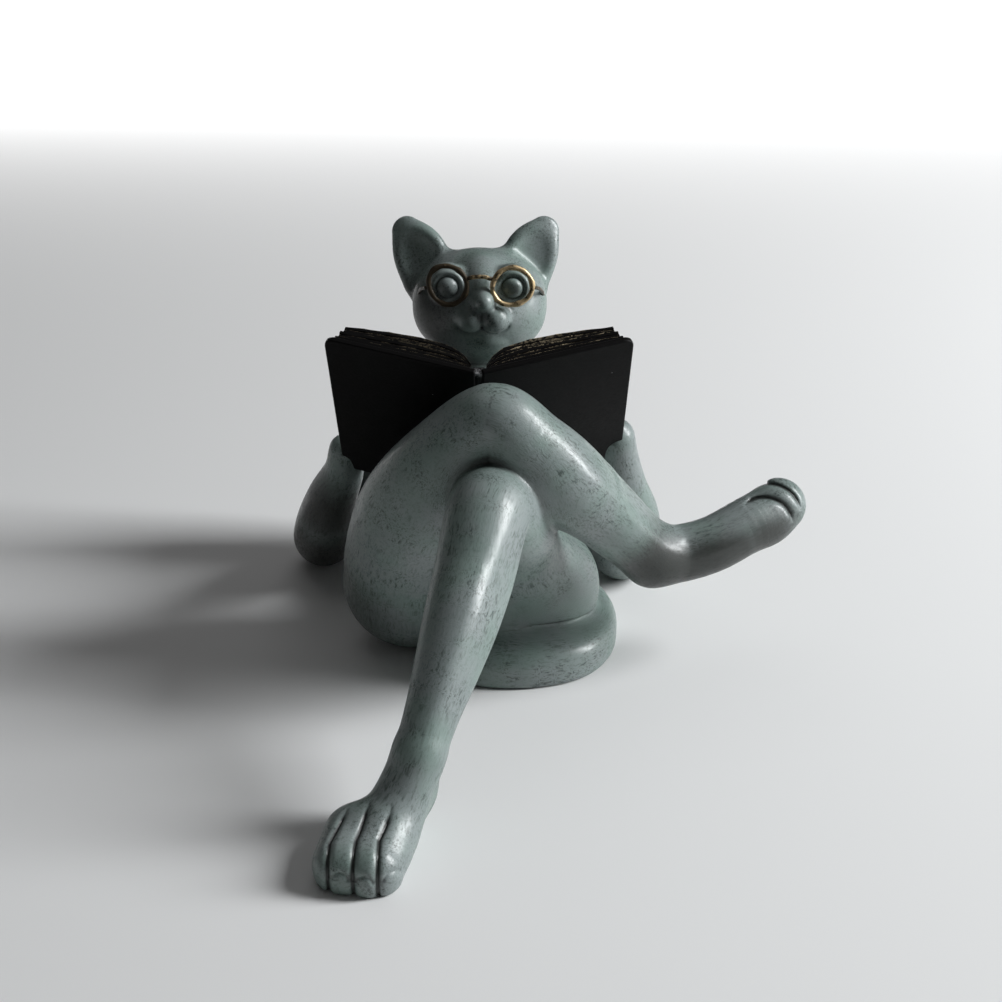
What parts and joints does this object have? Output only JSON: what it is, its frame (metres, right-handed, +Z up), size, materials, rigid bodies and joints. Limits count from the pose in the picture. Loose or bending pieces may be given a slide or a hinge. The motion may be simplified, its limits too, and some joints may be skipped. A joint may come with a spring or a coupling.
{
  "type": "cat figurine",
  "caption": "Glazed ceramic figurine of a slender cat lying back with crossed legs, reading an open book through round spectacles, tail curled round its hip.",
  "frame": {"origin": "centre of the overall box, on the surface that the figurine rests on", "axes": "+Z up, -Y towards the viewer that the cat's face and front foot point at, +X towards the cat's left side"},
  "size_m": [0.1378, 0.1808, 0.1012],
  "materials": {
    "glaze": "satin gloss sage grey glaze with a brushed dark wash",
    "book_black": "gloss black glaze, dry-brushed gold on the page edges",
    "gilt": "worn antique gold over dark",
    "plug": "matt"
  },
  "bodies": {
    "root": {"torso": "glaze", "vent_plug": "plug", "head": "glaze", "left_ear": "glaze", "right_ear": "glaze", "left_eye": "glaze", "right_eye": "glaze", "nose": "glaze", "left_arm": "glaze", "right_arm": "glaze", "left_leg": "glaze", "right_leg": "glaze", "tail": "glaze", "left_board": "book_black", "right_board": "book_black", "spine": "book_black", "left_pages": "book_black", "right_pages": "book_black", "left_rim": "gilt", "right_rim": "gilt", "bridge": "gilt", "left_temple": "gilt", "right_temple": "gilt"}
  },
  "joints": []
}
